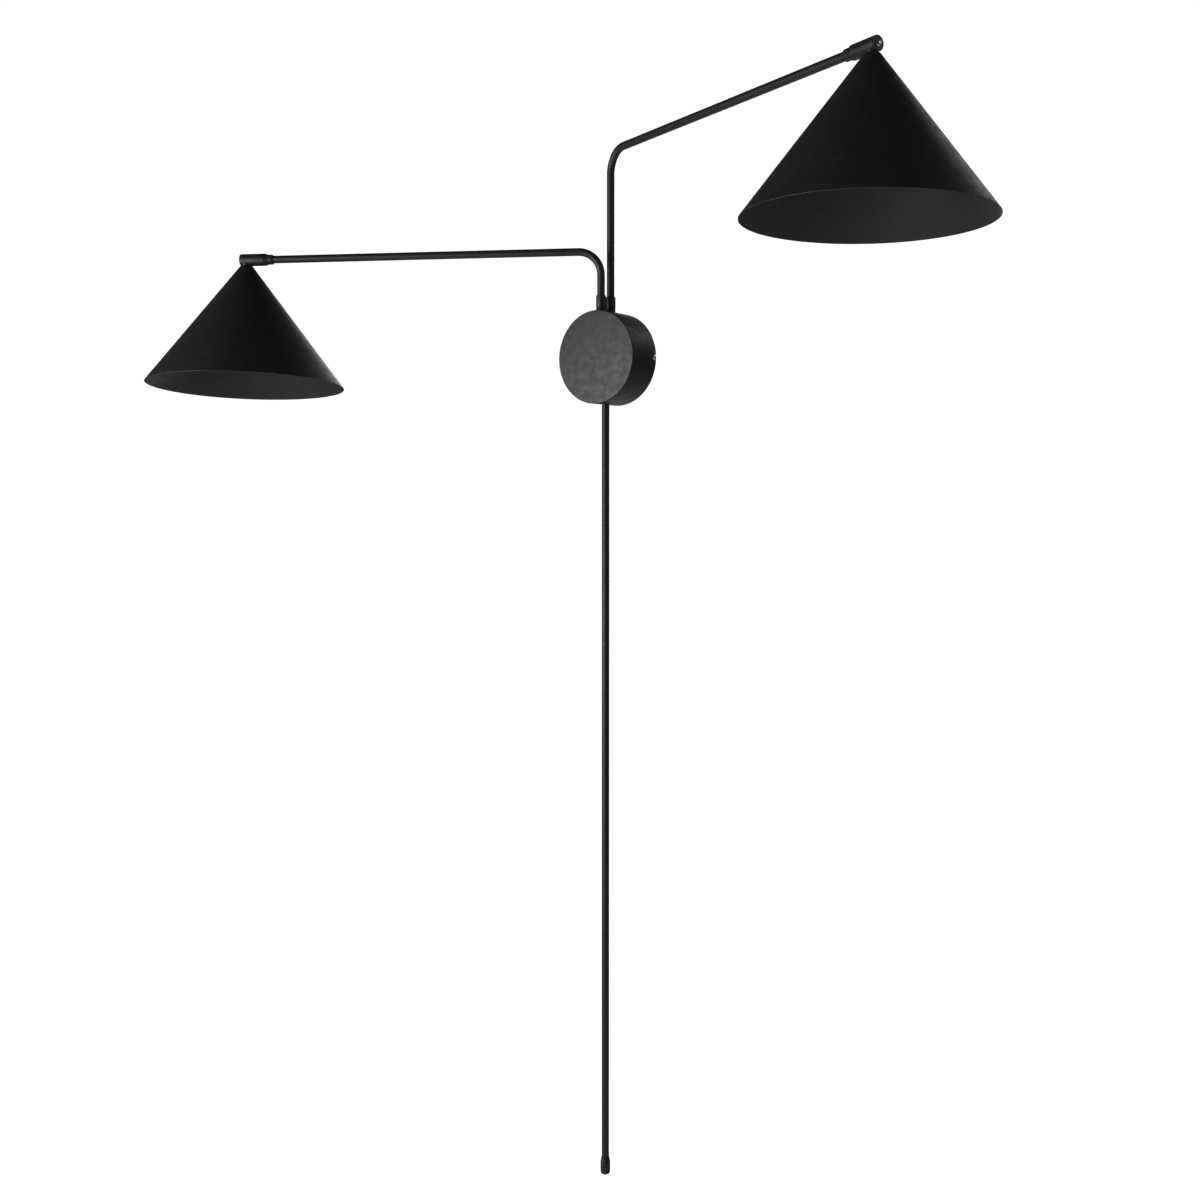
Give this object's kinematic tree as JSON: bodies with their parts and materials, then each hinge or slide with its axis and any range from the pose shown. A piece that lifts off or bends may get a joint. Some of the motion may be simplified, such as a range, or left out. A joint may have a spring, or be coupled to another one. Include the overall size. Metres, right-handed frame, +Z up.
{
  "type": "swing arm wall sconce",
  "caption": "Wall lamp with a drum wall box, swivelling bent-tube arms at different heights, rolling cone shades and a long straight rod below.",
  "frame": {"origin": "middle of the wall plate's back face, on the wall, level with the middle of the wall box", "axes": "+Z up, +Y into the wall, so the lamp stands out towards -Y; +X to the right as seen from the front"},
  "size_m": [1.121, 0.4128, 1.383],
  "materials": {
    "powder_coat_black": "satin black powder coat with a fine texture",
    "zinc_plated_steel": "zinc plated",
    "nickel_plated_steel": "polished nickel plate",
    "turned_brass": "turned",
    "black_thermoplastic": "moulded black thermoplastic",
    "white_nylon": "moulded natural nylon",
    "black_flex": "black round flex",
    "opal_glass": "opal"
  },
  "bodies": {
    "wall_base": {"wall_plate": "zinc_plated_steel", "canopy_cover": "powder_coat_black", "canopy_screw_left": "nickel_plated_steel", "canopy_screw_right": "nickel_plated_steel", "swivel_bracket": "zinc_plated_steel", "short_base_ring": "powder_coat_black", "long_base_ring": "powder_coat_black", "terminal_block": "white_nylon", "terminal_screw_left_lower": "turned_brass", "terminal_screw_left_upper": "turned_brass", "terminal_screw_right_lower": "turned_brass", "terminal_screw_right_upper": "turned_brass", "earth_screw": "turned_brass", "earth_nut": "turned_brass", "short_box_lead": "black_flex", "long_box_lead": "black_flex", "rod_tube": "powder_coat_black", "rod_end_cap": "powder_coat_black", "rod_nipple": "zinc_plated_steel", "rod_washer": "zinc_plated_steel", "rod_lock_nut": "zinc_plated_steel"},
    "short_arm": {"short_arm_tube": "powder_coat_black", "short_collar": "powder_coat_black", "short_thrust_washer": "zinc_plated_steel", "short_spring_washer": "zinc_plated_steel", "short_lock_nut": "zinc_plated_steel", "short_arm_lead": "black_flex", "short_end_collar": "powder_coat_black", "short_spindle": "zinc_plated_steel"},
    "short_head": {"short_knuckle": "powder_coat_black", "short_end_screw": "nickel_plated_steel", "short_shade": "powder_coat_black", "short_shade_nipple": "zinc_plated_steel", "short_shade_nut": "zinc_plated_steel", "short_lampholder": "black_thermoplastic", "short_bulb_base": "nickel_plated_steel", "short_bulb_globe": "opal_glass", "short_drop_lead": "black_flex"},
    "long_arm": {"long_arm_tube": "powder_coat_black", "long_collar": "powder_coat_black", "long_thrust_washer": "zinc_plated_steel", "long_spring_washer": "zinc_plated_steel", "long_lock_nut": "zinc_plated_steel", "long_arm_lead": "black_flex", "long_end_collar": "powder_coat_black", "long_spindle": "zinc_plated_steel"},
    "long_head": {"long_knuckle": "powder_coat_black", "long_end_screw": "nickel_plated_steel", "long_shade": "powder_coat_black", "long_shade_nipple": "zinc_plated_steel", "long_shade_nut": "zinc_plated_steel", "long_lampholder": "black_thermoplastic", "long_bulb_base": "nickel_plated_steel", "long_bulb_globe": "opal_glass", "long_drop_lead": "black_flex"}
  },
  "joints": [
    {"name": "short_swing", "type": "hinge", "parent": "wall_base", "child": "short_arm", "pos_m": [0, -0.04, 0.07], "axis": [0, 0, 1], "range_deg": [-12, 39]},
    {"name": "short_roll", "type": "hinge", "parent": "short_arm", "child": "short_head", "pos_m": [-0.41982, -0.27271, 0.136], "axis": [-0.8746, -0.4848, 0], "range_deg": [-24, 31]},
    {"name": "long_swing", "type": "hinge", "parent": "wall_base", "child": "long_arm", "pos_m": [0, -0.019, 0.07], "axis": [0, 0, -1], "range_deg": [-1, 47]},
    {"name": "long_roll", "type": "hinge", "parent": "long_arm", "child": "long_head", "pos_m": [0.44812, -0.19102, 0.267], "axis": [-0.9336, 0.3584, 0], "range_deg": [-21, 34]}
  ]
}
